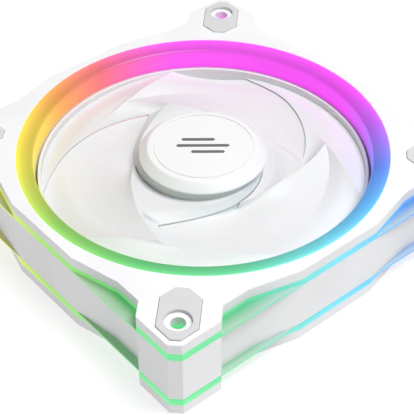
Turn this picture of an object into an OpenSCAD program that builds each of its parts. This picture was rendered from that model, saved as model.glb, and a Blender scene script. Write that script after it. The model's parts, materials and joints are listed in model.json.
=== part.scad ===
// Case fan, 120 mm class, with a lit ring at each face and a three-blade ring impeller.
// Millimetres. The rotor axis is +Z, the front face is up and the rear pads rest on z = 0.

/* [Frame] */
// Side of the square frame
frame_side = 120; // [119:0.5:124]
// Overall depth over the front and rear pads
frame_depth = 28; // [27.5:0.5:31]
// Hole-to-hole distance of the mounting screws
hole_spacing = 105; // [104:0.5:107]
// Diameter of the mounting holes
hole_d = 4.3; // [3.6:0.1:5]
// Radius of the air throat
throat_r = 52.1; // [51.8:0.1:52.6]
// Chamfer on the outer corners
corner_cut = 2.75; // [2:0.25:4]
// Length of each corner ear along the side
ear_len = 16; // [14:0.5:18]
// How far the plates step in between ear and mid-side
plate_waist = 4.15; // [3:0.05:4.4]
// How far the middle frame steps in at the same places
body_waist = 2.2; // [1:0.1:3]
// Distance from the middle of the side to the inner end of the waist
waist_end = 30.7; // [28:0.1:33]
// Distance from the middle of the side to the end of the ramp
ramp_end = 14.6; // [12:0.1:18]

/* [Layers] */
// Thickness of the front and rear plates
plate_h = 3.3; // [2.8:0.1:3.6]
// Height of the light guide band at the outline
band_h = 2.6; // [2:0.1:3]
// Height of the band's edge where it stands out past the waists
ledge_h = 0.7; // [0.4:0.1:1.2]
// Radius of the plate opening that holds the light ring
opening_r = 57.3; // [56.8:0.1:57.8]
// How far the pads stand proud of the plates
pad_proud = 0.4; // [0.3:0.1:0.8]
// Depth of the pad pockets
pocket_h = 0.8; // [0.5:0.1:1.2]

/* [Impeller] */
// Radius of the hub wall
hub_r = 19; // [18.8:0.1:19.4]
// Outer radius of the ring that joins the blade tips
ring_r = 51.3; // [51:0.1:51.5]
// Angle that each blade reaches back under the one before it
blade_lap = 22; // [14:1:26]
// Blade thickness
blade_t = 1.5; // [1.2:0.1:1.6]
// Height of the crest of each blade
crest_z = 22; // [21.8:0.1:22.4]
// Height of the trailing edge
trail_z = 19.8; // [19.7:0.05:20.2]

/* [Lighting] */
// Light-emitting diodes on each ring board
led_count = 12; // [6:1:18]

/* [Hidden] */
$fn = 96;
pad_names = ["pad_a", "pad_b", "pad_c", "pad_d"];
blade_names = ["blade_a", "blade_b", "blade_c"];
frame_names = ["frame_corner_a", "frame_corner_b", "frame_corner_c", "frame_corner_d"];

eps = 0.01;
half = frame_side / 2;
hole_r = hole_d / 2;
mid_z = frame_depth / 2;
rear_face_z = pad_proud;
front_face_z = frame_depth - pad_proud;
front_band_top = front_face_z - plate_h;
body_top = front_band_top - band_h;
rear_band_top = frame_depth - body_top;
body_bottom = rear_band_top;

// Light ring
ring_clear = 0.1;
light_r = opening_r - ring_clear;
lip_z = front_face_z - 1.05;
funnel_r = light_r - 1.6;
inner_wall_t = 1.2;
front_skirt_z = 20;

// Lamp channels inside the frame body
channel_in_r = throat_r + 1.5;
channel_out_r = half - 1.1;
channel_h = 4.5;
board_h = 1;
board_in_r = channel_in_r + 0.2;
board_out_r = channel_out_r - 0.2;
led_size = [3.5, 2.8, 1.6];
led_r = (board_in_r + board_out_r) / 2;

// Corner pads, measured outward along the diagonal from the mounting hole
pad_tail = 12.1;
pad_nose = 6.9;
pad_back = 8.3;
pad_front = 2.5;
pad_half = 5.75;
pad_tail_half = 1.9;
pad_nose_half = 1.5;
pad_hole_r = 3.85;
pad_gap = 0.1;

// Assembly screws, one beside each corner pad, driven from the rear
screw_at = [45, -56.9];
screw_r = 1.1;
screw_clear = 0.05;
screw_head_r = 1.9;
screw_head_h = 1.3;
screw_top = front_face_z - 1.4;

// Motor and hub
hub_bottom = 9.6;
hub_top = 24.2;
hub_wall = 1.5;
hub_in_r = hub_r - hub_wall;
hub_deck = 1.6;
deck_z = hub_top - hub_deck;
cap_r = hub_r + 0.9;
cap_top_r = hub_r - 1.8;
cap_edge_h = 0.5;
cap_top = 27.2;
cap_groove_r = 15.4;
cap_groove_w = 0.35;
cap_groove_h = 0.3;
mark_h = 0.3;
shaft_r = 1.5;
shaft_bottom = 4.7;
shaft_top = 23.8;
groove_z = 5.3;
groove_h = 0.5;
groove_r = 1.1;
clip_r = 2.4;
ring_bottom = 10;
ring_t = 1;
ring_top = 20.4;
boss_r = 3.4;
boss_h = 2;
yoke_t = 0.75;
magnet_t = 1.65;
tube_r = 4.25;
tube_bore = 3.05;
sleeve_bore = shaft_r + 0.03;
base_r = 21;
base_wall = 1.2;
base_bottom = 2.6;
base_floor = 1.4;
base_top = 8.2;
collar_r = 6;
collar_top = 7;
core_bottom = 12;
core_top = 18;
core_r = 14.4;
core_hub_r = 6.6;
arm_w = 3;
shoe_t = 1.6;
insulator_h = 0.8;
coil_w = 7.2;
coil_h = 2;
coil_in_r = core_hub_r + 0.2;
coil_out_r = core_r - shoe_t - 0.9;
pole_count = 4;

// Struts that carry the motor base
strut_count = 4;
strut_w = 3;
strut_offset = 9;
strut_top = 8.2;

// Cable outlet in the edge of the frame
grommet = [8, 3, 4];
grommet_lip = [10, 0.8, 5.4];

module at_corners() {
    for (a = [0:90:270]) rotate(a - 45) translate([hole_spacing / sqrt(2), 0, 0]) children();
}

module holes(r, z0, z1) {
    at_corners() translate([0, 0, z0 - eps]) cylinder(r = r, h = z1 - z0 + 2 * eps);
}

module screw_sites() {
    for (a = [0:90:270]) rotate(a) translate([screw_at[0], screw_at[1], 0]) children();
}

module tube(r_out, r_in, z0, z1) {
    difference() {
        translate([0, 0, z0]) cylinder(r = r_out, h = z1 - z0);
        translate([0, 0, z0 - eps]) cylinder(r = r_in, h = z1 - z0 + 2 * eps);
    }
}

// One side of the outline, stepping in by waist between each ear and the middle of the side
function side_points(waist) = [
    [half - corner_cut, -half], [half - ear_len, -half], [half - ear_len - waist, -half + waist],
    [waist_end, -half + waist], [ramp_end, -half], [-ramp_end, -half], [-waist_end, -half + waist],
    [-half + ear_len + waist, -half + waist], [-half + ear_len, -half], [-half + corner_cut, -half]];

function turned(p, a) = [p[0] * cos(a) - p[1] * sin(a), p[0] * sin(a) + p[1] * cos(a)];

module outline(waist) {
    polygon([for (a = [0:-90:-270]) for (p = side_points(waist)) turned(p, a)]);
}

module pad_shape(grow) {
    polygon([[-pad_tail - grow, -pad_tail_half], [-pad_back - grow / 2, -pad_half - grow],
        [pad_front + grow / 2, -pad_half - grow], [pad_nose + grow, -pad_nose_half],
        [pad_nose + grow, pad_nose_half], [pad_front + grow / 2, pad_half + grow],
        [-pad_back - grow / 2, pad_half + grow], [-pad_tail - grow, pad_tail_half]]);
}

// Plate with its outer face at front_face_z, the front one as drawn
module plate() {
    color("white") difference() {
        translate([0, 0, front_band_top]) linear_extrude(plate_h) outline(plate_waist);
        translate([0, 0, front_band_top - eps]) cylinder(r = opening_r, h = plate_h + 2 * eps);
        translate([0, 0, front_face_z - 0.6]) cylinder(r1 = opening_r - eps, r2 = opening_r + 0.85, h = 0.62);
        holes(hole_r, front_band_top, front_face_z);
        at_corners() translate([0, 0, front_face_z - pocket_h])
            linear_extrude(pocket_h + eps) pad_shape(pad_gap);
    }
}

// Lit funnel ring inside the plate opening, with a skirt down the throat to skirt_z
module light_ring(skirt_z) {
    color([0.5, 0.95, 0.6]) rotate_extrude() polygon([
        [throat_r, skirt_z], [throat_r + inner_wall_t, skirt_z], [throat_r + inner_wall_t, body_top],
        [light_r, body_top], [light_r, front_face_z], [funnel_r, lip_z + 0.62],
        [throat_r + 0.9, lip_z + 0.32], [throat_r + 0.2, lip_z], [throat_r, lip_z - 0.5]]);
}

// Lit band round the outline, clamped between the plate and the frame
module light_band() {
    color([0.5, 0.95, 0.6]) difference() {
        union() {
            translate([0, 0, body_top]) linear_extrude(band_h) outline(plate_waist);
            for (a = [0:90:270]) rotate(a) ledge();
        }
        translate([0, 0, body_top - eps]) cylinder(r = opening_r, h = band_h + 2 * eps);
        holes(hole_r, body_top, front_band_top);
        screw_sites() translate([0, 0, body_top - eps])
            cylinder(r = screw_r + screw_clear, h = band_h + 2 * eps);
    }
}

// Bar that fills the waists of one side out to the flush edge, sloping up to the inset plate
module ledge() {
    slope = [[0, 0], [0, ledge_h], [6, ledge_h + 1], [6, 0]];
    translate([-half + ear_len, -half, body_top]) rotate([90, 0, 90])
        linear_extrude(frame_side - 2 * ear_len) polygon(slope);
}

module to_rear() {
    translate([0, 0, frame_depth]) mirror([0, 0, 1]) children();
}

module front_plate() {
    difference() {
        plate();
        screw_sites() translate([0, 0, front_band_top - eps])
            cylinder(r = screw_r + screw_clear, h = screw_top - front_band_top);
    }
}

module rear_plate() {
    difference() {
        to_rear() plate();
        screw_sites() translate([0, 0, -eps])
            cylinder(r = screw_r + screw_clear, h = plate_h + 2 * pad_proud);
        screw_sites() translate([0, 0, -eps])
            cylinder(r = screw_head_r + 0.1, h = rear_face_z + screw_head_h);
    }
}

module front_light_ring() {
    light_ring(front_skirt_z);
}

module rear_light_ring() {
    to_rear() light_ring(body_top);
}

module front_light_band() {
    light_band();
}

module rear_light_band() {
    to_rear() light_band();
}

module frame_walls() {
    difference() {
        translate([0, 0, body_bottom]) linear_extrude(body_top - body_bottom) outline(body_waist);
        translate([0, 0, body_bottom - 1]) cylinder(r = throat_r, h = frame_depth);
        translate([0, 0, front_skirt_z]) cylinder(r = channel_in_r, h = band_h + 1);
        holes(hole_r, body_bottom, body_top);
        screw_sites() translate([0, 0, body_bottom - 1])
            cylinder(r = screw_r + screw_clear, h = frame_depth);
        tube(channel_out_r, channel_in_r, body_top - channel_h, body_top + 1);
        tube(channel_out_r, channel_in_r, body_bottom - 1, body_bottom + channel_h);
        translate([-grommet[0] / 2, half - grommet[1], mid_z - grommet[2] / 2])
            cube([grommet[0], grommet[1] + 1, grommet[2]]);
    }
}

// Quarter of the frame round one mounting hole. The quarters and the motor mount are one moulding
module frame_corner(k) {
    color("whitesmoke") intersection() {
        frame_walls();
        rotate(90 * k - 90) cube([half + 1, half + 1, frame_depth]);
    }
}

// Motor base and its struts, moulded with the frame on the real fan
module motor_mount() {
    color("whitesmoke") {
        motor_base();
        intersection() {
            for (i = [0:strut_count - 1]) rotate(i * 360 / strut_count + 20) strut();
            cylinder(r = throat_r - eps, h = frame_depth);
        }
    }
}

module motor_base() {
    tube(base_r, base_r - base_wall, base_bottom, base_top);
    translate([0, 0, base_bottom]) cylinder(r = base_r - base_wall / 2, h = base_floor);
    tube(collar_r, tube_r, base_bottom + base_floor - eps, collar_top);
}

// Skewed arm from the motor base to the throat wall, deeper towards the motor
module strut() {
    reach = sqrt(pow(throat_r + 0.6, 2) - pow(strut_offset, 2));
    start = sqrt(pow(base_r - base_wall / 2, 2) - pow(strut_offset, 2));
    side = [[start, base_bottom + 0.8], [reach - 9, body_bottom + 0.2], [reach, body_bottom + 0.2],
        [reach, strut_top], [start, strut_top - 0.6]];
    translate([0, strut_offset + strut_w / 2, 0]) rotate([90, 0, 0]) linear_extrude(strut_w) polygon(side);
}

module pad() {
    color("gainsboro") translate([0, 0, front_face_z - pocket_h]) linear_extrude(pocket_h + pad_proud)
        difference() {
            pad_shape(0);
            circle(r = pad_hole_r);
        }
}

module front_pad(i) {
    rotate(i * 90 - 45) translate([hole_spacing / sqrt(2), 0, 0]) pad();
}

module rear_pad(i) {
    to_rear() front_pad(i);
}

module led_board() {
    color("white") tube(board_out_r, board_in_r, body_top - channel_h, body_top - channel_h + board_h);
}

module leds() {
    led_z = body_top - channel_h + board_h + led_size[2] / 2;
    color("lightyellow") for (i = [0:led_count - 1]) rotate((i + 0.5) * 360 / led_count)
        translate([led_r, 0, led_z]) cube([led_size[1], led_size[0], led_size[2]], center = true);
}

module front_led_board() {
    led_board();
}

module front_leds() {
    leds();
}

module rear_led_board() {
    to_rear() led_board();
}

module rear_leds() {
    to_rear() leds();
}

module assembly_screws() {
    color("silver") screw_sites() difference() {
        union() {
            translate([0, 0, rear_face_z]) cylinder(r = screw_head_r, h = screw_head_h);
            translate([0, 0, rear_face_z + screw_head_h])
                cylinder(r = screw_r, h = screw_top - rear_face_z - screw_head_h - 0.3);
        }
        for (a = [0, 90]) rotate(a) translate([-1.3, -0.3, rear_face_z - eps]) cube([2.6, 0.6, 0.8]);
    }
}

module cable_grommet() {
    color("dimgray") difference() {
        translate([0, half - grommet[1] / 2, mid_z]) cube(grommet, center = true);
        for (i = [-1, 0, 1]) translate([i * 2.2, half - grommet[1] / 2, mid_z])
            rotate([90, 0, 0]) cylinder(r = 0.7, h = grommet[1] + 1, center = true);
    }
}

module motor_label() {
    color("gainsboro") translate([0, 0, base_bottom - 0.25]) cylinder(r = base_r - 3, h = 0.25);
}

module motor_board() {
    color("darkgreen") tube(15.5, tube_r + 0.15, collar_top, collar_top + board_h);
}

module driver_chip() {
    color("black") translate([-11, -2.5, collar_top + board_h]) cube([4, 5, 1.2]);
}

module hall_sensor() {
    color("black") rotate(45) translate([11.5, -1.5, collar_top + board_h]) cube([1.6, 3, 1.4]);
}

module bearing_tube() {
    color("goldenrod") tube(tube_r, tube_bore, base_bottom + base_floor, 19.6);
}

module bearing_sleeve() {
    color("peru") tube(tube_bore, sleeve_bore, 6.2, 18.5);
}

module oil_seal() {
    color("ivory") tube(tube_bore, shaft_r + 0.12, 18.6, 19.1);
}

module thrust_pad() {
    color("ivory") translate([0, 0, base_bottom + base_floor]) cylinder(r = tube_bore - 0.1, h = 0.6);
}

// Flat shape of the stator: a hub, arms and the curved shoes that face the magnet
module stator_shape(shoes_grow) {
    difference() {
        union() {
            circle(r = core_hub_r);
            for (i = [0:pole_count - 1]) rotate(i * 360 / pole_count)
                translate([0, -arm_w / 2]) square([core_r - shoe_t / 2, arm_w]);
            difference() {
                circle(r = core_r + shoes_grow);
                circle(r = core_r - shoe_t);
                for (i = [0:pole_count - 1]) rotate((i + 0.5) * 360 / pole_count)
                    translate([0, -1.8]) square([core_r + 2, 3.6]);
            }
        }
        circle(r = tube_r);
    }
}

module stator_core() {
    color("dimgray") translate([0, 0, core_bottom]) linear_extrude(core_top - core_bottom) stator_shape(0);
}

module front_insulator() {
    color("ivory") translate([0, 0, core_top]) linear_extrude(insulator_h) stator_shape(0.1);
}

module rear_insulator() {
    color("ivory") translate([0, 0, core_bottom - insulator_h]) linear_extrude(insulator_h) stator_shape(0.1);
}

module stator_coils() {
    wound_h = core_top - core_bottom + 2 * insulator_h;
    color("chocolate") for (i = [0:pole_count - 1]) rotate(i * 360 / pole_count) difference() {
        translate([coil_in_r, -coil_w / 2, core_bottom - insulator_h - coil_h + 0.5])
            cube([coil_out_r - coil_in_r, coil_w, wound_h + 2 * coil_h - 1]);
        translate([coil_in_r - 1, -arm_w / 2 - 0.02, core_bottom - insulator_h - 0.02])
            cube([coil_out_r - coil_in_r + 2, arm_w + 0.04, wound_h + 0.04]);
    }
}

module impeller_hub() {
    color("white") rotate_extrude() polygon([[shaft_r, deck_z - boss_h], [boss_r, deck_z - boss_h],
        [boss_r, deck_z], [hub_in_r, deck_z], [hub_in_r, hub_bottom],
        [hub_r, hub_bottom], [hub_r, hub_top], [shaft_r, hub_top]]);
}

module impeller_ring() {
    color("white") rotate_extrude() polygon([[ring_r - ring_t, ring_bottom], [ring_r, ring_bottom],
        [ring_r, ring_top - 0.3], [ring_r - 0.3, ring_top], [ring_r - ring_t + 0.3, ring_top],
        [ring_r - ring_t, ring_top - 0.3]]);
}

// Each blade is a wide sheet that starts deep under the one before it, rises to a crest and rolls
// down to a thin trailing edge. Points and lines in plan are [radius, angle] pairs.
notch = [39.2, 301];
crest_root = [hub_r, 175];
crest_pull_a = [-24, -16];
crest_pull_b = [2, -32];
crest_end = [ring_r - ring_t + 0.02, 272];
function polar(p) = [p[0] * cos(p[1]), p[0] * sin(p[1])];
function bezier(a, b, c, d, t) =
    a * pow(1 - t, 3) + b * 3 * t * pow(1 - t, 2) + c * 3 * t * t * (1 - t) + d * pow(t, 3);
inner_steps = 16;
outer_steps = 6;
crest_points = concat(
    [for (i = [0:inner_steps]) let (t = pow(i / inner_steps, 1.3))
        bezier(polar(crest_root), crest_pull_a, crest_pull_b, polar(notch), t)],
    [for (i = [1:outer_steps]) polar(notch) + (polar(crest_end) - polar(notch)) * i / outer_steps]);
row_r = [for (p = crest_points) norm(p)];
rows = len(crest_points);
row_crest = [for (p = crest_points) (atan2(p[1], p[0]) + 360) % 360];

// Trailing edge: round the hub, out to a pointed corner, then a spiral to the ring
corner = [31.4, 294];
function trail_inner(r) = corner[1] + 600 * (1 / (r - 14.5) - 1 / (corner[0] - 14.5));
function trail_outer(r) = corner[1] + 59 * pow((r - corner[0]) / 15.6, 0.85);
function trail_angle(r) = r < corner[0] ? trail_inner(r) : trail_outer(r);

// Fold between the flat root and the strip that runs down to the trailing edge
fold = [30.6, 284];
function fold_angle(r) = fold[1] + 600 * (1 / (r - 14) - 1 / (fold[0] - 14));

pitch = 120;
min_rise = 6;
start_z = 13.5;
low_z = 19.15;
dip = 1.6;
fold_z = 21.8;
rim_fall = 1.8;
root_rise = 0.8;
trail_t = 0.5;
taper_w = 8;
function eased(x) = let (t = min(1, max(0, x))) t * t * (3 - 2 * t);
function crest_height(r) = crest_z - 2.4 * (1 - eased((r - 20) / 7));
function joint(r) = trail_angle(r) - pitch;
function crest_at(i) = max(row_crest[i], joint(row_r[i]) + min_rise);
function middle(i) = row_r[i] < fold[0] ? fold_angle(row_r[i])
    : crest_at(i) + 0.15 * (trail_angle(row_r[i]) - crest_at(i));
function rise(top, t) = mix(low_z, top, pow(t, 3)) - dip * sin(180 * t);
function roll(r, w) = crest_height(r) - (crest_height(r) - trail_z) * (1 - pow(1 - w, 3.5));
function mix(a, b, t) = a + (b - a) * t;

// Angles of the columns in row i: under the blade before, up to the crest, to the fold, to the edge
under_cols = 5;
rise_cols = 14;
top_cols = 5;
edge_cols = 6;
cols = under_cols + rise_cols + top_cols + edge_cols;
function column_angle(i, j) = let (r = row_r[i], j1 = j - under_cols, j2 = j1 - rise_cols, j3 = j2 - top_cols)
    j1 <= 0 ? mix(joint(r) - blade_lap, joint(r), j / under_cols)
    : j2 <= 0 ? mix(joint(r), crest_at(i), j1 / rise_cols)
    : j3 <= 0 ? mix(crest_at(i), middle(i), j2 / top_cols)
    : mix(middle(i), trail_angle(r), j3 / edge_cols);
function sheet_z(i, a) = let (r = row_r[i], c = crest_at(i), f = middle(i), e = trail_angle(r))
    a < joint(r) ? mix(start_z, low_z, (a - joint(r) + blade_lap) / blade_lap)
    : a < c ? rise(crest_height(r), (a - joint(r)) / (c - joint(r)))
    : r >= fold[0] ? roll(r, (a - c) / (e - c))
    : a < f ? mix(crest_height(r), fold_z, (a - c) / (f - c))
    : mix(fold_z, trail_z, (a - f) / (e - f));
function blade_z(i, a) = sheet_z(i, a) - rim_fall * eased((row_r[i] - 42) / 8.3)
    + root_rise * pow(max(0, 1 - (row_r[i] - hub_r) / 3.5), 2);
function thickness(i, a) =
    mix(trail_t, blade_t, min(1, (trail_angle(row_r[i]) - a) * row_r[i] * PI / 180 / taper_w));
function blade_point(i, j, lower) = let (r = row_r[i], a = column_angle(i, j))
    [r * cos(a), r * sin(a), blade_z(i, a) - lower * thickness(i, a)];

module blade() {
    // Index of a point, lower is 1 on the under face
    function at(i, j, lower) = i * (cols + 1) + j + lower * rows * (cols + 1);
    // Two triangles that fill a four-sided patch
    function patch(a, b, c, d) = [[a, b, c], [a, c, d]];
    points = concat(
        [for (i = [0:rows - 1]) for (j = [0:cols]) blade_point(i, j, 0)],
        [for (i = [0:rows - 1]) for (j = [0:cols]) blade_point(i, j, 1)]);
    last = rows - 1;
    faces = concat(
        [for (i = [0:last - 1]) for (j = [0:cols - 1])
            each patch(at(i, j, 0), at(i, j + 1, 0), at(i + 1, j + 1, 0), at(i + 1, j, 0))],
        [for (i = [0:last - 1]) for (j = [0:cols - 1])
            each patch(at(i, j, 1), at(i + 1, j, 1), at(i + 1, j + 1, 1), at(i, j + 1, 1))],
        [for (i = [0:last - 1]) each patch(at(i, 0, 0), at(i + 1, 0, 0), at(i + 1, 0, 1), at(i, 0, 1))],
        [for (i = [0:last - 1])
            each patch(at(i, cols, 0), at(i, cols, 1), at(i + 1, cols, 1), at(i + 1, cols, 0))],
        [for (j = [0:cols - 1]) each patch(at(0, j, 0), at(0, j, 1), at(0, j + 1, 1), at(0, j + 1, 0))],
        [for (j = [0:cols - 1])
            each patch(at(last, j, 0), at(last, j + 1, 0), at(last, j + 1, 1), at(last, j, 1))]);
    polyhedron(points, faces);
}

module impeller_blade(k) {
    color("white") rotate(-k * 360 / len(blade_names)) blade();
}

module hub_cap() {
    groove_in = cap_groove_r - cap_groove_w / 2;
    color("white") difference() {
        rotate_extrude() polygon([[0, hub_top], [cap_r, hub_top], [cap_r, hub_top + cap_edge_h],
            [cap_top_r, cap_top], [0, cap_top]]);
        tube(groove_in + cap_groove_w, groove_in, cap_top - cap_groove_h, cap_top + 1);
        translate([0, 0, cap_top - mark_h]) linear_extrude(mark_h + 1) mark_shape();
    }
}

// Plain decoration: three parallel air-flow bars with round ends
module mark_shape() {
    rotate(50) for (bar = [[-1.5, 3, 9], [0, 0, 15], [1.5, -3, 9]])
        translate([bar[0], bar[1]]) {
            square([bar[2], 1.3], center = true);
            for (s = [-1, 1]) translate([s * bar[2] / 2, 0]) circle(r = 0.65);
        }
}

module cap_mark() {
    color("gray") translate([0, 0, cap_top - mark_h]) linear_extrude(mark_h) mark_shape();
}

module rotor_yoke() {
    yoke_in = hub_in_r - yoke_t;
    color("silver") rotate_extrude() polygon([
        [boss_r + 0.1, deck_z - yoke_t], [yoke_in, deck_z - yoke_t], [yoke_in, hub_bottom + 0.3],
        [hub_in_r, hub_bottom + 0.3], [hub_in_r, deck_z], [boss_r + 0.1, deck_z]]);
}

module rotor_magnet() {
    color("darkslategray") tube(hub_in_r - yoke_t, hub_in_r - yoke_t - magnet_t, 10.5, 20.5);
}

module shaft() {
    color("silver") rotate_extrude() polygon([
        [0, shaft_bottom], [1, shaft_bottom], [shaft_r, shaft_bottom + 0.3], [shaft_r, groove_z],
        [groove_r, groove_z], [groove_r, groove_z + groove_h], [shaft_r, groove_z + groove_h],
        [shaft_r, shaft_top], [0, shaft_top]]);
}

module retaining_clip() {
    color("ivory") tube(clip_r, groove_r + 0.02, groove_z + 0.05, groove_z + groove_h - 0.05);
}

front_plate();
front_light_ring();
front_light_band();
for (k = [0:3]) frame_corner(k);
motor_mount();
rear_light_band();
rear_light_ring();
rear_plate();
for (i = [0:3]) front_pad(i);
for (i = [0:3]) rear_pad(i);
front_led_board();
front_leds();
rear_led_board();
rear_leds();
assembly_screws();
cable_grommet();
motor_label();
motor_board();
driver_chip();
hall_sensor();
bearing_tube();
bearing_sleeve();
oil_seal();
thrust_pad();
stator_core();
front_insulator();
rear_insulator();
stator_coils();
impeller_hub();
for (k = [0:2]) impeller_blade(k);
impeller_ring();
hub_cap();
cap_mark();
rotor_yoke();
rotor_magnet();
shaft();
retaining_clip();
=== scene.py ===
"""Looks for the 120 mm case fan: detailed shells, lit guides, frosted impeller, studio and camera.

Lengths are millimetres in the shape functions and become metres when a mesh is made.
"""
import json
import math

import bmesh
import bpy
from mathutils import Matrix, Vector


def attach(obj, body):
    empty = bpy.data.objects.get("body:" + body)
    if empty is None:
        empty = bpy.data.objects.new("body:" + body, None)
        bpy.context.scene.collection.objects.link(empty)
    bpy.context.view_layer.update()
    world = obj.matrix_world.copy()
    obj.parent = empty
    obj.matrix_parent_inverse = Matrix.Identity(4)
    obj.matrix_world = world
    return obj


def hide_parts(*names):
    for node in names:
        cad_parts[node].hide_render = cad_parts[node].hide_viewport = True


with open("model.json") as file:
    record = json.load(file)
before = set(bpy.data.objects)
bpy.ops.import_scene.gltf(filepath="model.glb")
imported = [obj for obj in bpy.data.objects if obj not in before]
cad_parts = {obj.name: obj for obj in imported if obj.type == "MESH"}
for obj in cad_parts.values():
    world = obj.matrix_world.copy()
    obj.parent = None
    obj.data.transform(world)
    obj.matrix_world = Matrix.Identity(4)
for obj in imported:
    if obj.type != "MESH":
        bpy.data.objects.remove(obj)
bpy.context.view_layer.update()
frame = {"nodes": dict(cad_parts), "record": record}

MM = 0.001
HOUSING = "housing"
ROTOR = "rotor"

# Driving dimensions, in millimetres
HALF = 60.0
DEPTH = 28.0
CORNER_CUT = 2.75
EAR_LEN = 16.0
WAIST_END = 30.7
RAMP_END = 14.6
PLATE_WAIST = 4.15
BODY_WAIST = 2.2
THROAT_R = 52.1
OPENING_R = 57.3
LIGHT_R = 57.2
HOLE_AT = 52.5
HOLE_R = 2.15
HOLE_REACH = HOLE_AT * math.sqrt(2)
PAD_HOLE_R = 3.85
PAD_IN = 12.1
PAD_IN_HALF = 1.9
PAD_IN_SHOULDER = 8.3
PAD_HALF_W = 5.75
PAD_OUT_SHOULDER = 2.5
PAD_OUT = 6.9
PAD_OUT_HALF = 1.5
PAD_GAP = 0.12
FACE_Z = 27.6
POCKET_Z = 26.8
BAND_TOP = 24.3
BAND_BOTTOM = 21.7
SKIRT_Z = 20.0
SKIRT_T = 1.2
SEAT_T = 1.5
LEDGE_LIP = 0.7
LEDGE_TOP = 1.15
LEDGE_IN = 2.7
WAIST_LEDGE_TOP = 1.5
WAIST_LEDGE_MORE = 0.6
WAIST_LEDGE_LEN = 16.1
LEDGE_OVERLAP = 0.2
LEDGE_INSET = 0.01
SCREW_AT = (45.0, -56.9)
SCREW_HEAD_R = 2.0
SCREW_HEAD_TOP = 1.7
HUB_R = 19.0
HUB_TOP = 24.2
HUB_BOTTOM = 9.6
RING_R = 51.3
RING_IN_R = 50.3
RING_TOP = 20.4
RING_BOTTOM = 10.0
CAP_R = 19.9
CAP_SHOULDER_Z = 24.75
CAP_FACE_R = 17.2
CAP_TOP = 27.2
BAR_R = 0.65
GROMMET_HALF_W = 4.05
GROMMET_DEEP = 3.05
GROMMET_LOW = 11.95
GROMMET_HIGH = 16.05
STRUT_OFFSET = 9.0
STRUT_FROM_R = 20.4
STRUT_W = 3.0
STRUT_TURN = 20
ROUND = 256


# ---------------------------------------------------------------- mesh helpers

def link(name, mesh):
    piece = bpy.data.objects.new(name, mesh)
    bpy.context.scene.collection.objects.link(piece)
    return piece


def from_bmesh(name, bm):
    """Object from a bmesh drawn in millimetres."""
    bmesh.ops.recalc_face_normals(bm, faces=bm.faces)
    mesh = bpy.data.meshes.new(name)
    bmesh.ops.scale(bm, vec=(MM, MM, MM), verts=bm.verts)
    bm.to_mesh(mesh)
    bm.free()
    return link(name, mesh)


def applied(piece):
    """Replaces the piece's mesh with the result of its modifiers."""
    graph = bpy.context.evaluated_depsgraph_get()
    result = piece.evaluated_get(graph)
    mesh = bpy.data.meshes.new_from_object(result, preserve_all_data_layers=True, depsgraph=graph)
    piece.modifiers.clear()
    piece.data = mesh
    return piece


def smooth(piece, angle=40.0):
    piece.data.polygons.foreach_set("use_smooth", [True] * len(piece.data.polygons))
    piece.data.set_sharp_from_angle(angle=math.radians(angle))
    return piece


def soften(piece, width, segments=3, angle=28.0):
    """Rounds every edge sharper than angle by width millimetres."""
    bevel = piece.modifiers.new("edges", "BEVEL")
    bevel.width = width * MM
    bevel.segments = segments
    bevel.limit_method = "ANGLE"
    bevel.angle_limit = math.radians(angle)
    bevel.miter_outer = "MITER_ARC"
    applied(piece)
    piece.data.polygons.foreach_set("use_smooth", [True] * len(piece.data.polygons))
    weighted = piece.modifiers.new("normals", "WEIGHTED_NORMAL")
    weighted.keep_sharp = True
    weighted.weight = 100
    return applied(piece)


def combine(piece, others, operation):
    """Boolean of the piece with each of the others, which are used up."""
    for other in others:
        modifier = piece.modifiers.new("solid", "BOOLEAN")
        modifier.operation = operation
        modifier.solver = "EXACT"
        modifier.object = other
        applied(piece)
        bpy.data.objects.remove(other)
    return piece


def joined(name, objects):
    """One object that holds the meshes of several."""
    bm = bmesh.new()
    for part in objects:
        bm.from_mesh(part.data)
        bpy.data.objects.remove(part)
    mesh = bpy.data.meshes.new(name)
    bm.to_mesh(mesh)
    bm.free()
    return link(name, mesh)


def circle(r, steps=ROUND, cx=0.0, cy=0.0):
    turn = 2 * math.pi / steps
    return [(cx + r * math.cos(i * turn), cy + r * math.sin(i * turn)) for i in range(steps)]


def turned(point, degrees):
    a = math.radians(degrees)
    x, y = point
    return (x * math.cos(a) - y * math.sin(a), x * math.sin(a) + y * math.cos(a))


def slab(name, outer, holes, z0, z1):
    """Flat plate between z0 and z1 with an outline and holes."""
    bm = bmesh.new()
    edges = []
    for loop in [outer] + holes:
        verts = [bm.verts.new((x, y, z0)) for x, y in loop]
        edges += [bm.edges.new((verts[i], verts[(i + 1) % len(verts)])) for i in range(len(verts))]
    bmesh.ops.triangle_fill(bm, use_beauty=True, use_dissolve=False, edges=edges)
    top = bmesh.ops.extrude_face_region(bm, geom=list(bm.faces))["geom"]
    bmesh.ops.translate(bm, vec=(0, 0, z1 - z0), verts=[v for v in top if isinstance(v, bmesh.types.BMVert)])
    return from_bmesh(name, bm)


def rounded(profile, cut, steps=4):
    """Closed profile with each corner replaced by a curve that starts cut millimetres from it."""
    points = []
    count = len(profile)
    for i in range(count):
        corner = Vector(profile[i])
        before = Vector(profile[i - 1]) - corner
        after = Vector(profile[(i + 1) % count]) - corner
        if corner.x < 1e-6:
            points.append(tuple(corner))
            continue
        start = corner + before.normalized() * min(cut, before.length / 2.1)
        end = corner + after.normalized() * min(cut, after.length / 2.1)
        for k in range(steps + 1):
            t = k / steps
            points.append(tuple(start * (1 - t) ** 2 + corner * 2 * t * (1 - t) + end * t ** 2))
    return points


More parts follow.
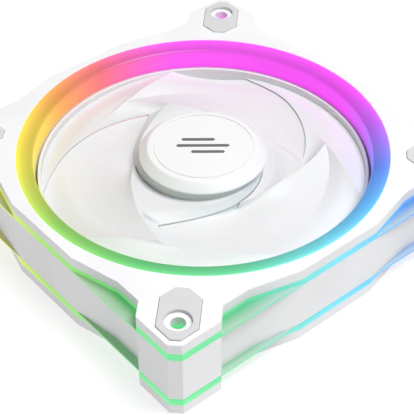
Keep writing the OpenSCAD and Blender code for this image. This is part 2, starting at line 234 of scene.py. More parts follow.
def revolve(name, profile, steps=ROUND):
    """Solid of revolution about Z of a closed (radius, height) profile."""
    bm = bmesh.new()
    columns = []
    for r, z in profile:
        if r < 1e-6:
            columns.append([bm.verts.new((0, 0, z))])
        else:
            columns.append([bm.verts.new((x, y, z)) for x, y in circle(r, steps)])
    for i, column in enumerate(columns):
        following = columns[(i + 1) % len(columns)]
        for k in range(steps):
            n = (k + 1) % steps
            if len(column) > 1 and len(following) > 1:
                bm.faces.new((column[k], column[n], following[n], following[k]))
            elif len(column) > 1:
                bm.faces.new((column[k], column[n], following[0]))
            elif len(following) > 1:
                bm.faces.new((column[0], following[n], following[k]))
    return smooth(from_bmesh(name, bm), 50)


def prism(name, profile, origin, along, across, length):
    """Straight bar: a profile of (across, up) points pushed along a direction."""
    bm = bmesh.new()
    along = Vector(along)
    across = Vector(across)
    start = Vector(origin)
    near = [bm.verts.new(start + across * a + Vector((0, 0, z))) for a, z in profile]
    far = [bm.verts.new(start + along * length + across * a + Vector((0, 0, z))) for a, z in profile]
    count = len(profile)
    bm.faces.new(near)
    bm.faces.new(far)
    for i in range(count):
        n = (i + 1) % count
        bm.faces.new((near[i], near[n], far[n], far[i]))
    return from_bmesh(name, bm)


def mirrored(piece, name):
    """Copy of a front piece turned into the rear one by reflection about the middle of the depth."""
    copy = link(name, piece.data.copy())
    copy.data.transform(Matrix.Translation((0, 0, DEPTH * MM)) @ Matrix.Diagonal((1, 1, -1, 1)))
    copy.data.flip_normals()
    return copy


# ---------------------------------------------------------------- outlines

def side_points(waist):
    half = [(HALF - CORNER_CUT, -HALF), (HALF - EAR_LEN, -HALF), (HALF - EAR_LEN - waist, -HALF + waist),
            (WAIST_END, -HALF + waist), (RAMP_END, -HALF)]
    return half + [(-x, y) for x, y in reversed(half)]


def outline(waist):
    return [turned(p, a) for a in (0, -90, -180, -270) for p in side_points(waist)]


def corner_holes(r, steps=48):
    return [circle(r, steps, sx * HOLE_AT, sy * HOLE_AT) for sx in (-1, 1) for sy in (-1, 1)]


def pad_outline(corner, grow=0.0):
    """Long octagon round a mounting hole, pointing to the corner."""
    half = [(-PAD_IN - grow, -PAD_IN_HALF), (-PAD_IN_SHOULDER - grow / 2, -PAD_HALF_W - grow),
            (PAD_OUT_SHOULDER + grow / 2, -PAD_HALF_W - grow), (PAD_OUT + grow, -PAD_OUT_HALF)]
    points = half + [(u, -v) for u, v in reversed(half)]
    return [turned((HOLE_REACH + u, v), corner * 90 - 45) for u, v in points]


# ---------------------------------------------------------------- materials

GRAIN_DEPTH = 0.00005
WIRE_TURN_DEPTH = 0.0001
BRUSH_DEPTH = 0.00004


def srgb(r, g, b):
    def linear(c):
        c = c / 255
        return c / 12.92 if c <= 0.04045 else ((c + 0.055) / 1.055) ** 2.4
    return (linear(r), linear(g), linear(b), 1.0)


def new_material(name):
    material = bpy.data.materials.new(name)
    material.use_nodes = True
    tree = material.node_tree
    return material, tree.nodes, tree.links, tree.nodes["Principled BSDF"]


def noise_field(nodes, links, where, scale, detail=2.0):
    """Output of a noise texture read at a position socket."""
    noise = nodes.new("ShaderNodeTexNoise")
    noise.inputs["Scale"].default_value = scale
    noise.inputs["Detail"].default_value = detail
    links.new(where, noise.inputs["Vector"])
    return noise.outputs["Fac"]


def bumped(nodes, links, height, bsdf, strength, distance):
    bump = nodes.new("ShaderNodeBump")
    bump.inputs["Strength"].default_value = strength
    bump.inputs["Distance"].default_value = distance
    links.new(height, bump.inputs["Height"])
    links.new(bump.outputs["Normal"], bsdf.inputs["Normal"])


def ranged(nodes, links, source, **ends):
    """Map Range output; the ends are named as the node's sockets, with _ for a space."""
    spread = nodes.new("ShaderNodeMapRange")
    for socket, value in ends.items():
        spread.inputs[socket.replace("_", " ")].default_value = value
    links.new(source, spread.inputs["Value"])
    return spread.outputs["Result"]


def maths(nodes, links, operation, *operands):
    """Math output; each operand is an output socket or a plain number."""
    node = nodes.new("ShaderNodeMath")
    node.operation = operation
    for k, operand in enumerate(operands):
        if isinstance(operand, float):
            node.inputs[k].default_value = operand
        else:
            links.new(operand, node.inputs[k])
    return node.outputs["Value"]


def stretched(nodes, links, where, scale):
    """Position socket scaled along each axis."""
    stretch = nodes.new("ShaderNodeMapping")
    stretch.inputs["Scale"].default_value = scale
    links.new(where, stretch.inputs["Vector"])
    return stretch.outputs["Vector"]


def mottled(nodes, links, where, bsdf, dark, light, scale):
    """Slow colour change between two close colours."""
    ramp = nodes.new("ShaderNodeValToRGB")
    ramp.color_ramp.elements[0].position = 0.35
    ramp.color_ramp.elements[0].color = dark
    ramp.color_ramp.elements[1].position = 0.65
    ramp.color_ramp.elements[1].color = light
    links.new(noise_field(nodes, links, where, scale, 3.0), ramp.inputs["Fac"])
    links.new(ramp.outputs["Color"], bsdf.inputs["Base Color"])


def plastic(name, dark, light, low, high, coat=0.0, scale=2600, strength=0.12, subsurface=0.0):
    """Moulded plastic or rubber: fine grain, a slow colour change and roughness from low to high."""
    material, nodes, links, bsdf = new_material(name)
    where = nodes.new("ShaderNodeTexCoord").outputs["Object"]
    bumped(nodes, links, noise_field(nodes, links, where, scale, 4.0), bsdf, strength, GRAIN_DEPTH)
    mottled(nodes, links, where, bsdf, dark, light, 45)
    rough = ranged(nodes, links, noise_field(nodes, links, where, 160), To_Min=low, To_Max=high)
    links.new(rough, bsdf.inputs["Roughness"])
    bsdf.inputs["Coat Weight"].default_value = coat
    bsdf.inputs["Coat Roughness"].default_value = 0.2
    if subsurface:
        bsdf.inputs["Subsurface Weight"].default_value = subsurface
        bsdf.inputs["Subsurface Scale"].default_value = 0.004
    return material


# Hue of the lamps round the rotor axis: angle in degrees, then the colour there. The levels of the stops are
# partly painted shade: the green stops on the near side are darker, where the funnel faces away from the
# lights.
HUES_AND_SHADE = [(0, 115, 218, 240), (20, 95, 185, 252), (40, 100, 140, 250), (60, 195, 100, 255),
        (80, 250, 72, 255), (150, 255, 82, 245), (180, 255, 115, 130), (200, 255, 165, 85),
        (215, 252, 210, 75), (240, 235, 225, 75), (270, 155, 215, 95), (300, 105, 210, 120),
        (330, 100, 215, 155), (360, 115, 218, 240)]

# Brightness of the guides by distance from the axis: dim lip, bright outer edge, then the side bands. The
# dim lip and the bright outer edge are partly painted shade and painted light of the funnel's slopes.
GLOW_AND_SHADE = [(50.0, 0.5), (53.0, 0.62), (55.5, 1.0), (57.1, 1.5), (58.5, 0.62), (84.0, 0.72)]
GLOW_REACH = 84.0

# The ledges pale between FADE_FROM millimetres from the axis, measured square to a side, and the side itself
FADE_FROM = 56.6
FADE_MOST = 0.8
FADED_GLOW = 0.25
UPWARD_GLOW = 0.45
MILKY = (0.46, 0.50, 0.48, 1)


def hue_and_shade_round(nodes, links, x, y):
    """Lamp colour at the angle about Z, with the painted shade that the stops hold."""
    angle = maths(nodes, links, "ARCTAN2", y, x)
    turns = maths(nodes, links, "MULTIPLY_ADD", angle, 1 / (2 * math.pi), 1.0)
    ramp = nodes.new("ShaderNodeValToRGB")
    elements = ramp.color_ramp.elements
    elements[0].position = 0.0
    elements[0].color = srgb(*HUES_AND_SHADE[0][1:])
    elements[1].position = 1.0
    elements[1].color = srgb(*HUES_AND_SHADE[-1][1:])
    for degrees, r, g, b in HUES_AND_SHADE[1:-1]:
        elements.new(degrees / 360).color = srgb(r, g, b)
    links.new(maths(nodes, links, "FRACT", turns), ramp.inputs["Fac"])
    return ramp.outputs["Color"]


def half_glow_and_shade(nodes, links, x, y):
    """Half the level of the radial table, painted shade of the lip included, at the distance from the axis;
    it is halved because a ramp's colours end at 1.
    """
    flat = nodes.new("ShaderNodeCombineXYZ")
    links.new(x, flat.inputs["X"])
    links.new(y, flat.inputs["Y"])
    radius = nodes.new("ShaderNodeVectorMath")
    radius.operation = "LENGTH"
    links.new(flat.outputs["Vector"], radius.inputs[0])
    profile = nodes.new("ShaderNodeValToRGB")
    stops = profile.color_ramp.elements
    for k, (r, level) in enumerate(GLOW_AND_SHADE):
        stop = stops[k] if k < 2 else stops.new(r / GLOW_REACH)
        stop.position = r / GLOW_REACH
        stop.color = (level / 2, level / 2, level / 2, 1)
    reach = ranged(nodes, links, radius.outputs["Value"], From_Max=GLOW_REACH * MM)
    links.new(reach, profile.inputs["Fac"])
    return profile.outputs["Color"]


def ledge_fade(nodes, links, x, y, up):
    """How far a ledge pales: faces that look up lose light towards the outline, which it hardly reaches."""
    aside = maths(nodes, links, "ABSOLUTE", x)
    ahead = maths(nodes, links, "ABSOLUTE", y)
    widest = maths(nodes, links, "MAXIMUM", aside, ahead)
    outward = ranged(nodes, links, widest, From_Min=FADE_FROM * MM, From_Max=HALF * MM, To_Max=FADE_MOST)
    upper = ranged(nodes, links, up, From_Min=0.5, From_Max=0.9)
    return maths(nodes, links, "MULTIPLY", outward, upper)


def tinted(nodes, links, colour, shade, factor):
    """Mix of a colour socket with a fixed shade; the factor is a socket or a plain number."""
    blend = nodes.new("ShaderNodeMix")
    blend.data_type = "RGBA"
    blend.inputs["B"].default_value = shade
    links.new(colour, blend.inputs["A"])
    if isinstance(factor, float):
        blend.inputs["Factor"].default_value = factor
    else:
        links.new(factor, blend.inputs["Factor"])
    return blend.outputs["Result"]


def lit_plastic(name, gain, dark):
    """Translucent guide lit from inside: the lamp colour goes round the fan and faces that look up are
    dimmer; the colour stops and the level by radius also hold painted shade.
    """
    material, nodes, links, bsdf = new_material(name)
    coords = nodes.new("ShaderNodeTexCoord")
    where = coords.outputs["Object"]
    bumped(nodes, links, noise_field(nodes, links, where, 900, 4.0), bsdf, 0.05, GRAIN_DEPTH)
    position = nodes.new("ShaderNodeSeparateXYZ")
    links.new(where, position.inputs["Vector"])
    x = position.outputs["X"]
    y = position.outputs["Y"]
    facing = nodes.new("ShaderNodeSeparateXYZ")
    links.new(coords.outputs["Normal"], facing.inputs["Vector"])
    up = facing.outputs["Z"]
    # Lamp colour with painted shade on the near side, used for both the base colour and the emission colour
    lamp_colour_and_shade = hue_and_shade_round(nodes, links, x, y)
    pale = ledge_fade(nodes, links, x, y, up)

    # The streaks vary the gain by a tenth either way, and the 2 in it makes up for the halved level
    streaks = noise_field(nodes, links, stretched(nodes, links, where, (0.25, 0.25, 3.0)), 260)
    uneven = ranged(nodes, links, streaks, To_Min=gain * 1.8, To_Max=gain * 2.2)
    # Emission level by radius, which holds the painted shade of the lip and the painted light of the outer
    # edge
    lit = maths(nodes, links, "MULTIPLY", half_glow_and_shade(nodes, links, x, y), uneven)
    upward = ranged(nodes, links, up, To_Min=1.0, To_Max=UPWARD_GLOW)
    glow_and_shade = maths(nodes, links, "MULTIPLY", lit, upward)
    kept = ranged(nodes, links, pale, To_Min=1.0, To_Max=FADED_GLOW)
    shown = maths(nodes, links, "MULTIPLY", glow_and_shade, kept)

    body = tinted(nodes, links, lamp_colour_and_shade, (0.03, 0.03, 0.03, 1), dark)
    links.new(tinted(nodes, links, body, MILKY, pale), bsdf.inputs["Base Color"])
    links.new(lamp_colour_and_shade, bsdf.inputs["Emission Color"])
    links.new(shown, bsdf.inputs["Emission Strength"])
    bsdf.inputs["Roughness"].default_value = 0.35
    bsdf.inputs["Specular IOR Level"].default_value = 0.3
    return material


def metal(name, colour, low, high, brushed=(1.0, 1.0, 30.0)):
    """Machined metal with fine turning marks."""
    material, nodes, links, bsdf = new_material(name)
    where = nodes.new("ShaderNodeTexCoord").outputs["Object"]
    marks = noise_field(nodes, links, stretched(nodes, links, where, brushed), 220, 5.0)
    bumped(nodes, links, marks, bsdf, 0.1, BRUSH_DEPTH)
    links.new(ranged(nodes, links, marks, To_Min=low, To_Max=high), bsdf.inputs["Roughness"])
    bsdf.inputs["Base Color"].default_value = colour
    bsdf.inputs["Metallic"].default_value = 1.0
    return material


def winding(name):
    """Enamelled wire laid in close turns."""
    material, nodes, links, bsdf = new_material(name)
    wave = nodes.new("ShaderNodeTexWave")
    wave.bands_direction = "Z"
    wave.inputs["Scale"].default_value = 900
    wave.inputs["Distortion"].default_value = 0.6
    links.new(nodes.new("ShaderNodeTexCoord").outputs["Object"], wave.inputs["Vector"])
    ramp = nodes.new("ShaderNodeValToRGB")
    ramp.color_ramp.elements[0].color = srgb(96, 42, 16)
    ramp.color_ramp.elements[1].color = srgb(214, 124, 62)
    links.new(wave.outputs["Fac"], ramp.inputs["Fac"])
    links.new(ramp.outputs["Color"], bsdf.inputs["Base Color"])
    bumped(nodes, links, wave.outputs["Fac"], bsdf, 0.7, WIRE_TURN_DEPTH)
    bsdf.inputs["Metallic"].default_value = 0.7
    bsdf.inputs["Roughness"].default_value = 0.35
    return material


WHITE_DARK = (0.80, 0.80, 0.815, 1)
WHITE_LIGHT = (0.84, 0.84, 0.85, 1)
MATERIALS = {
    "shell_white": plastic("shell_white", WHITE_DARK, WHITE_LIGHT, 0.38, 0.52, coat=0.08),
    "pad_rubber": plastic("pad_rubber", (0.58, 0.58, 0.59, 1), (0.62, 0.62, 0.63, 1), 0.7, 0.85,
                          scale=4200, strength=0.3),
    "light_front": lit_plastic("light_front", 1.3, 0.7),
    "light_rear": lit_plastic("light_rear", 1.4, 0.7),
    "rotor_white": plastic("rotor_white", (0.69, 0.69, 0.70, 1), (0.71, 0.71, 0.72, 1), 0.42, 0.55,
                           subsurface=0.15),
    "cap_white": plastic("cap_white", (0.80, 0.80, 0.80, 1), (0.82, 0.82, 0.82, 1), 0.28, 0.4, coat=0.1),
    "mark_grey": plastic("mark_grey", (0.12, 0.12, 0.125, 1), (0.15, 0.15, 0.155, 1), 0.5, 0.6),
    "board_white": plastic("board_white", (0.72, 0.72, 0.68, 1), (0.78, 0.78, 0.75, 1), 0.3, 0.4),
    "led": plastic("led", (0.80, 0.78, 0.55, 1), (0.86, 0.85, 0.66, 1), 0.15, 0.25),
    "screw_steel": metal("screw_steel", (0.56, 0.57, 0.58, 1), 0.25, 0.42),
    "grommet_rubber": plastic("grommet_rubber", (0.24, 0.24, 0.25, 1), (0.30, 0.30, 0.31, 1), 0.7, 0.85,
                              strength=0.3),
    "label_film": plastic("label_film", (0.50, 0.50, 0.52, 1), (0.58, 0.58, 0.60, 1), 0.22, 0.34, coat=0.4),
    "board_green": plastic("board_green", (0.01, 0.07, 0.02, 1), (0.02, 0.12, 0.04, 1), 0.3, 0.4, coat=0.3),
    "chip_black": plastic("chip_black", (0.012, 0.012, 0.013, 1), (0.02, 0.02, 0.022, 1), 0.4, 0.5),
    "brass": metal("brass", (0.72, 0.52, 0.22, 1), 0.2, 0.35),
    "bronze": metal("bronze", (0.45, 0.28, 0.14, 1), 0.4, 0.55),
    "nylon": plastic("nylon", (0.68, 0.65, 0.55, 1), (0.74, 0.71, 0.62, 1), 0.4, 0.55),
    "core_steel": metal("core_steel", (0.30, 0.30, 0.32, 1), 0.35, 0.5, brushed=(1.0, 1.0, 60.0)),
    "copper": winding("copper"),
    "yoke_steel": metal("yoke_steel", (0.50, 0.50, 0.52, 1), 0.25, 0.4),
    "magnet": plastic("magnet", (0.02, 0.02, 0.023, 1), (0.035, 0.035, 0.04, 1), 0.5, 0.65),
    "shaft_steel": metal("shaft_steel", (0.66, 0.66, 0.68, 1), 0.12, 0.22),
}

# Every CAD node first takes its slot's material; the pieces below then replace the visible shells
for row in frame["record"]["subparts"]:
    node = frame["nodes"][row["node"]]
    node.data.materials.clear()
    node.data.materials.append(MATERIALS[row["material_slot"]])


def place(piece, body, slot, *replaced):
    """Gives a finished piece its material and its body, and hides the CAD nodes that it stands for."""
    piece.data.materials.clear()
    piece.data.materials.append(MATERIALS[slot])
    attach(piece, body)
    if replaced:
        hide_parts(*replaced)
    return piece


# ---------------------------------------------------------------- frame shells

def pierced(name, waist, opening, z0, z1):
    """Slab of the frame's outline with its round opening and the four corner holes."""
    return slab(name, outline(waist), [circle(opening)] + corner_holes(HOLE_R), z0, z1)


def make_plate():
    plate = pierced("front_plate_shell", PLATE_WAIST, OPENING_R, BAND_TOP, FACE_Z)
    pockets = [slab(f"pocket_{i}", pad_outline(i, PAD_GAP), [], POCKET_Z, FACE_Z + 1) for i in range(4)]
    return combine(plate, pockets, "DIFFERENCE")


def make_rear_plate():
    plate = make_plate()
    rear = mirrored(plate, "rear_plate_shell")
    bpy.data.objects.remove(plate)
    wells = []
    for i in range(4):
        head = circle(SCREW_HEAD_R, 32, *turned(SCREW_AT, i * 90))
        wells.append(slab(f"well_{i}", head, [], -1, SCREW_HEAD_TOP))
    return combine(rear, wells, "DIFFERENCE")


def make_band(name):
    """Light guide band round the outline with its ledges over the waists."""
    band = pierced(name, PLATE_WAIST, OPENING_R, BAND_BOTTOM, BAND_TOP)
    low = BAND_BOTTOM
    lip = BAND_BOTTOM + LEDGE_LIP
    deep = PLATE_WAIST + WAIST_LEDGE_MORE
    narrow = [(0, low), (0, lip), (LEDGE_IN, low + LEDGE_TOP), (LEDGE_IN, low)]
    wide = [(0, low), (0, lip), (deep, low + WAIST_LEDGE_TOP), (deep, low)]
    reach = HALF - WAIST_END - EAR_LEN
    span = 2 * (HALF - EAR_LEN) + 2 * LEDGE_OVERLAP
    ledges = []
    for a in (0, 90, 180, 270):
        along = Vector((*turned((1, 0), a), 0))
        across = Vector((*turned((0, 1), a), 0))
        start = Vector((*turned((-HALF + EAR_LEN - LEDGE_OVERLAP, -HALF + LEDGE_INSET), a), 0))
        ledge = prism(f"ledge_{a}", narrow, start, along, across, span)
        for shift in (0, span - reach - WAIST_LEDGE_LEN):
            at = start + along * shift
            waist = prism(f"waist_{a}_{shift:.0f}", wide, at, along, across, reach + WAIST_LEDGE_LEN)
            combine(ledge, [waist], "UNION")
        ledges.append(ledge)
    combine(band, ledges, "UNION")
    return soften(band, 0.18, 2)


def funnel(skirt_z):
    """Profile of a light ring: thin skirt in the throat, a step under the plate, and the sloping lip."""
    outside = LIGHT_R - 0.02
    skirt = THROAT_R + SKIRT_T
    under = BAND_BOTTOM + 0.02
    return [(THROAT_R, skirt_z + 0.1), (THROAT_R + 0.12, skirt_z), (skirt, skirt_z), (skirt, under),
            (outside, under), (outside, FACE_Z - 0.12), (outside - 0.13, FACE_Z - 0.02),
            (outside - 0.48, FACE_Z - 0.06), (56.1, 27.36), (55.2, 27.18), (54.3, 27.02), (53.5, 26.86),
            (52.9, 26.7), (52.45, 26.48), (52.2, 26.2), (THROAT_R, 25.8)]


def make_body():
    """Middle of the frame between the two bands, cut for the cable grommet and the front ring's skirt."""
    body = pierced("frame_body_shell", BODY_WAIST, THROAT_R, DEPTH - BAND_BOTTOM, BAND_BOTTOM)
    w = GROMMET_HALF_W
    back = HALF - GROMMET_DEEP
    notch = [(-w, back), (w, back), (w, HALF + 1), (-w, HALF + 1)]
    slot_cut = slab("grommet_cut", notch, [], GROMMET_LOW, GROMMET_HIGH)
    seat = slab("skirt_seat", circle(THROAT_R + SEAT_T), [], SKIRT_Z, BAND_BOTTOM + 1)
    combine(body, [slot_cut, seat], "DIFFERENCE")
    return soften(body, 0.25, 3)


def make_mount():
    """Motor base and the skewed struts that carry it, seen from the rear."""
    floor = [(0, 2.6), (21, 2.6), (21, 8.2), (19.8, 8.2), (19.8, 4.0), (6, 4.0), (6, 7.0), (4.25, 7.0),
             (4.25, 4.0), (0, 4.0)]
    parts = [revolve("base", rounded(floor, 0.35), 160)]
    reach = math.sqrt((THROAT_R + 0.6) ** 2 - STRUT_OFFSET ** 2)
    start = math.sqrt(STRUT_FROM_R ** 2 - STRUT_OFFSET ** 2)
    side = [(start, 3.4), (reach - 9, 6.1), (reach, 6.1), (reach, 8.2), (start, 7.6)]
    for i in range(4):
        a = i * 90 + STRUT_TURN
        radial = Vector((*turned((1, 0), a), 0))
        across = Vector((*turned((0, 1), a), 0))
        origin = across * (STRUT_OFFSET - STRUT_W / 2)
        parts.append(soften(prism(f"strut_{i}", side, origin, across, radial, STRUT_W), 0.5, 3))
    return joined("motor_mount", parts)


place(make_body(), HOUSING, "shell_white", *[f"frame_corner_{letter}" for letter in "abcd"])
place(make_mount(), HOUSING, "shell_white", "motor_mount")
place(soften(make_plate(), 0.22, 3), HOUSING, "shell_white", "front_plate")
place(soften(make_rear_plate(), 0.22, 3), HOUSING, "shell_white", "rear_plate")
place(revolve("front_ring_lens", funnel(SKIRT_Z), 320), HOUSING, "light_front", "front_light_ring")
short_ring = revolve("short_ring", funnel(BAND_BOTTOM), 320)
place(mirrored(short_ring, "rear_ring_lens"), HOUSING, "light_rear", "rear_light_ring")
bpy.data.objects.remove(short_ring)
front_band = place(make_band("front_band_lens"), HOUSING, "light_front", "front_light_band")
place(mirrored(front_band, "rear_band_lens"), HOUSING, "light_rear", "rear_light_band")


def make_pad(name, corner):
    hole = circle(PAD_HOLE_R, 64, *turned((HOLE_REACH, 0), corner * 90 - 45))
    return soften(slab(name, pad_outline(corner), [hole], POCKET_Z + 0.02, DEPTH), 0.25, 3)


for corner, letter in enumerate("abcd"):
    front_pad = make_pad(f"front_pad_{letter}_soft", corner)
    place(front_pad, HOUSING, "pad_rubber", f"front_pad_{letter}")
    rear_pad = mirrored(front_pad, f"rear_pad_{letter}_soft")
    place(rear_pad, HOUSING, "pad_rubber", f"rear_pad_{letter}")


# ---------------------------------------------------------------- impeller

# Points and lines of a blade in plan are (radius, angle) pairs
NOTCH = (39.2, 301.0)
CREST_ROOT = (HUB_R, 175.0)
CREST_PULLS = ((-24.0, -16.0), (2.0, -32.0))
CREST_END = (RING_IN_R + 0.02, 272.0)
CORNER = (31.4, 294.0)
FOLD = (30.6, 284.0)
PITCH = 120.0
LAP = 22.0
MIN_RISE = 6.0
BLADE_T = 1.5
CREST_Z = 22.0
TRAIL_Z = 19.8
START_Z = 13.5
LOW_Z = 19.15
DIP = 1.6
FOLD_Z = 21.8
RIM_FALL = 1.8
RIM_FALL_FROM = 42.0
RIM_FALL_SPAN = 8.3
ROOT_RISE = 0.8
ROOT_REACH = 3.5
TRAIL_T = 0.5
TAPER_W = 8.0
CREST_ROOT_DROP = 2.4
# Both edges near the hub are spirals whose angle is SPIRAL / (radius - pole), in degrees
SPIRAL = 600.0
TRAIL_POLE = 14.5
FOLD_POLE = 14.0
TRAIL_SWEEP = 59.0
TRAIL_SPAN = 15.6
TRAIL_BEND = 0.85
ROLL = 3.5


def polar(point):
    a = math.radians(point[1])
    return Vector((point[0] * math.cos(a), point[0] * math.sin(a)))


def mix(a, b, t):
    return a + (b - a) * t


def eased(x):
    t = min(1.0, max(0.0, x))
    return t * t * (3 - 2 * t)


def crest_line(inner, outer):
    """Plan points of the crest: spiral from the hub to the notch, then straight to the ring."""
    a = polar(CREST_ROOT)
    b = Vector(CREST_PULLS[0])
    c = Vector(CREST_PULLS[1])
    d = polar(NOTCH)
    end = polar(CREST_END)
    points = []
    for i in range(inner + 1):
        t = (i / inner) ** 1.3
        points.append(a * (1 - t) ** 3 + b * 3 * t * (1 - t) ** 2 + c * 3 * t * t * (1 - t) + d * t ** 3)
    points += [d + (end - d) * i / outer for i in range(1, outer + 1)]
    return points


def trail_angle(r):
    """Trailing edge: round the hub, out to a pointed corner, then a spiral to the ring."""
    if r < CORNER[0]:
        return CORNER[1] + SPIRAL * (1 / (r - TRAIL_POLE) - 1 / (CORNER[0] - TRAIL_POLE))
    return CORNER[1] + TRAIL_SWEEP * ((r - CORNER[0]) / TRAIL_SPAN) ** TRAIL_BEND


def crest_height(r):
    """The crest starts lower at the hub and reaches full height 8 mm out from it."""
    return CREST_Z - CREST_ROOT_DROP * (1 - eased((r - 20) / 7))


def blade_z(r, angle, joint, crest, middle, trail):
    """Height of the blade's upper face at a plan position."""
    top = crest_height(r)
    if angle < joint:
        z = mix(START_Z, LOW_Z, (angle - joint + LAP) / LAP)
    elif angle < crest:
        t = (angle - joint) / (crest - joint)
        z = mix(LOW_Z, top, t ** 3) - DIP * math.sin(math.pi * t)
    elif r >= FOLD[0]:
        left = max(0.0, 1 - (angle - crest) / (trail - crest))
        z = top - (top - TRAIL_Z) * (1 - left ** ROLL)
    elif angle < middle:
        z = mix(top, FOLD_Z, (angle - crest) / (middle - crest))
    else:
        z = mix(FOLD_Z, TRAIL_Z, (angle - middle) / (trail - middle))
    z -= RIM_FALL * eased((r - RIM_FALL_FROM) / RIM_FALL_SPAN)
    return z + ROOT_RISE * max(0.0, 1 - (r - HUB_R) / ROOT_REACH) ** 2


def make_blade(name, spin, inner=64, outer=24, under=10, rise=44, top=18, strip=26):
    """One blade: from under the one before it, up to the crest, over the fold and down to the edge."""
    bm = bmesh.new()
    upper = []
    lower = []
    for point in crest_line(inner, outer):
        r = point.length
        trail = trail_angle(r)
        joint = trail - PITCH
        crest = max(math.degrees(math.atan2(point.y, point.x)) % 360, joint + MIN_RISE)
        if r < FOLD[0]:
            middle = FOLD[1] + SPIRAL * (1 / (r - FOLD_POLE) - 1 / (FOLD[0] - FOLD_POLE))
        else:
            middle = mix(crest, trail, 0.15)
        angles = [mix(joint - LAP, joint, j / under) for j in range(under)]
        angles += [mix(joint, crest, j / rise) for j in range(rise)]
        angles += [mix(crest, middle, j / top) for j in range(top)]
        angles += [mix(middle, trail, j / strip) for j in range(strip + 1)]
        top_row = []
        low_row = []
        for angle in angles:
            x, y = polar((r, angle + spin))
            z = blade_z(r, angle, joint, crest, middle, trail)
            thick = mix(TRAIL_T, BLADE_T, min(1.0, r * math.radians(trail - angle) / TAPER_W))
            top_row.append(bm.verts.new((x, y, z)))
            low_row.append(bm.verts.new((x, y, z - thick)))
        upper.append(top_row)
        lower.append(low_row)
    rows = len(upper)
    cols = len(upper[0])
    for i in range(rows - 1):
        for j in range(cols - 1):
            bm.faces.new((upper[i][j], upper[i][j + 1], upper[i + 1][j + 1], upper[i + 1][j]))
            bm.faces.new((lower[i][j], lower[i + 1][j], lower[i + 1][j + 1], lower[i][j + 1]))
        bm.faces.new((upper[i][0], upper[i + 1][0], lower[i + 1][0], lower[i][0]))
        bm.faces.new((upper[i][-1], lower[i][-1], lower[i + 1][-1], upper[i + 1][-1]))
    for j in range(cols - 1):
        bm.faces.new((upper[0][j], lower[0][j], lower[0][j + 1], upper[0][j + 1]))
        bm.faces.new((upper[-1][j], upper[-1][j + 1], lower[-1][j + 1], lower[-1][j]))
    return from_bmesh(name, bm)


blades = joined("blades", [make_blade(f"blade_{k}", -PITCH * k) for k in range(3)])
smooth(blades, 35)
place(blades, ROTOR, "rotor_white", "blade_a", "blade_b", "blade_c")

ring_profile = [(RING_IN_R, RING_BOTTOM), (RING_R, RING_BOTTOM), (RING_R, RING_TOP), (RING_IN_R, RING_TOP)]
place(revolve("tip_ring", rounded(ring_profile, 0.3), 320), ROTOR, "rotor_white", "impeller_ring")

hub_profile = [(1.5, 20.6), (3.4, 20.6), (3.4, 22.6), (17.5, 22.6), (17.5, HUB_BOTTOM), (HUB_R, HUB_BOTTOM),
               (HUB_R, HUB_TOP), (1.5, HUB_TOP)]
place(revolve("hub_cup", rounded(hub_profile, 0.25), 192), ROTOR, "rotor_white", "impeller_hub")


def make_cap():
    """Hub cap with a soft chamfer and a fine groove round its face."""
    floor_z = CAP_TOP - 0.25
    groove = [(15.575, CAP_TOP), (15.55, floor_z), (15.25, floor_z), (15.225, CAP_TOP)]
    side = [(0, HUB_TOP), (CAP_R, HUB_TOP), (CAP_R, CAP_SHOULDER_Z), (CAP_FACE_R, CAP_TOP), (0, CAP_TOP)]
    rim = [p for p in rounded(side, 0.45, 6) if p[0] > 1e-6]
    return revolve("cap_disc", [(0, HUB_TOP)] + rim + groove + [(0, CAP_TOP)], 192)


place(make_cap(), ROTOR, "cap_white", "hub_cap")


def round_end(centre, first):
    """Half circle at a bar's end, from the angle first in degrees."""
    angles = [math.radians(first + 15 * k) for k in range(13)]
    return [(centre + BAR_R * math.cos(t), BAR_R * math.sin(t)) for t in angles]


def make_mark():
    """Three plain bars with round ends, a hair proud of the cap."""
    bars = []
    for i, (x, y, length) in enumerate(((-1.5, 3.0, 9.0), (0.0, 0.0, 15.0), (1.5, -3.0, 9.0))):
        ends = round_end(-length / 2, 90) + round_end(length / 2, -90)
        loop = [turned((x + px, y + py), 50) for px, py in ends]
        bars.append(slab(f"bar_{i}", loop, [], CAP_TOP - 0.25, CAP_TOP + 0.03))
    return joined("mark_bars", bars)


place(make_mark(), ROTOR, "mark_grey", "cap_mark")


# ---------------------------------------------------------------- studio

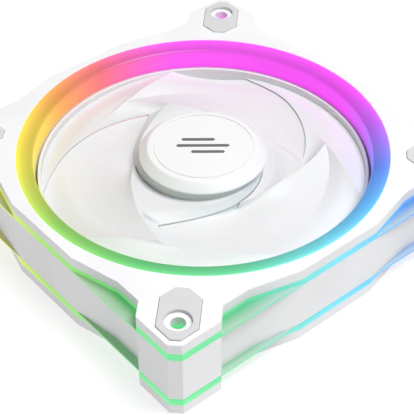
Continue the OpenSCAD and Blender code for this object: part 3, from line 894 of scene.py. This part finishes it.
def pale_floor():
    mesh = bpy.data.meshes.new("floor")
    reach = 3.0
    corners = [(-reach, -reach, 0), (reach, -reach, 0), (reach, reach, 0), (-reach, reach, 0)]
    mesh.from_pydata(corners, [], [(0, 1, 2, 3)])
    floor = link("floor", mesh)
    material, nodes, links, bsdf = new_material("floor_paper")
    where = nodes.new("ShaderNodeTexCoord").outputs["Object"]
    bumped(nodes, links, noise_field(nodes, links, where, 400, 4.0), bsdf, 0.05, 0.0001)
    mottled(nodes, links, where, bsdf, (0.27, 0.27, 0.27, 1), (0.29, 0.29, 0.29, 1), 3)
    bsdf.inputs["Emission Color"].default_value = (1, 1, 1, 1)
    bsdf.inputs["Emission Strength"].default_value = 0.72
    bsdf.inputs["Roughness"].default_value = 0.9
    bsdf.inputs["Specular IOR Level"].default_value = 0.1
    mesh.materials.append(material)


def area_light(name, where, size, power):
    """Round soft light at a place in metres, aimed at the origin."""
    data = bpy.data.lights.new(name, "AREA")
    data.shape = "DISK"
    data.size = size
    data.energy = power
    light = bpy.data.objects.new(name, data)
    bpy.context.scene.collection.objects.link(light)
    light.location = where
    light.rotation_euler = (-Vector(where)).to_track_quat("-Z", "Y").to_euler()


def make_camera():
    """Long lens above the near corner; the angles are the plan direction and the height of the view."""
    azimuth = math.radians(50.11)
    elevation = math.radians(41.57)
    roll = math.radians(-0.3)
    distance = 0.39476
    target = Vector((-0.00074, 0.0021, 0))
    level = math.cos(elevation)
    forward = Vector((-math.sin(azimuth) * level, math.cos(azimuth) * level, -math.sin(elevation)))
    flat_right = Vector((math.cos(azimuth), math.sin(azimuth), 0))
    flat_up = flat_right.cross(forward)
    right = flat_right * math.cos(roll) + flat_up * math.sin(roll)
    up = flat_up * math.cos(roll) - flat_right * math.sin(roll)
    data = bpy.data.cameras.new("camera")
    data.lens = 105.9
    data.sensor_width = 36.0
    data.clip_start = 0.01
    camera = bpy.data.objects.new("camera", data)
    bpy.context.scene.collection.objects.link(camera)
    turn = Matrix((right, up, -forward)).transposed().to_4x4()
    camera.matrix_world = Matrix.Translation(target - forward * distance) @ turn
    bpy.context.scene.camera = camera


world = bpy.data.worlds.new("studio")
world.use_nodes = True
world.node_tree.nodes["Background"].inputs["Color"].default_value = (1, 1, 1, 1)
world.node_tree.nodes["Background"].inputs["Strength"].default_value = 0.30
bpy.context.scene.world = world
bpy.context.scene.view_settings.view_transform = "Standard"

pale_floor()
area_light("key", (0.28, 0.14, 0.85), 0.45, 7.9)
area_light("fill", (0.1, -0.6, 0.7), 0.6, 0.35)
make_camera()
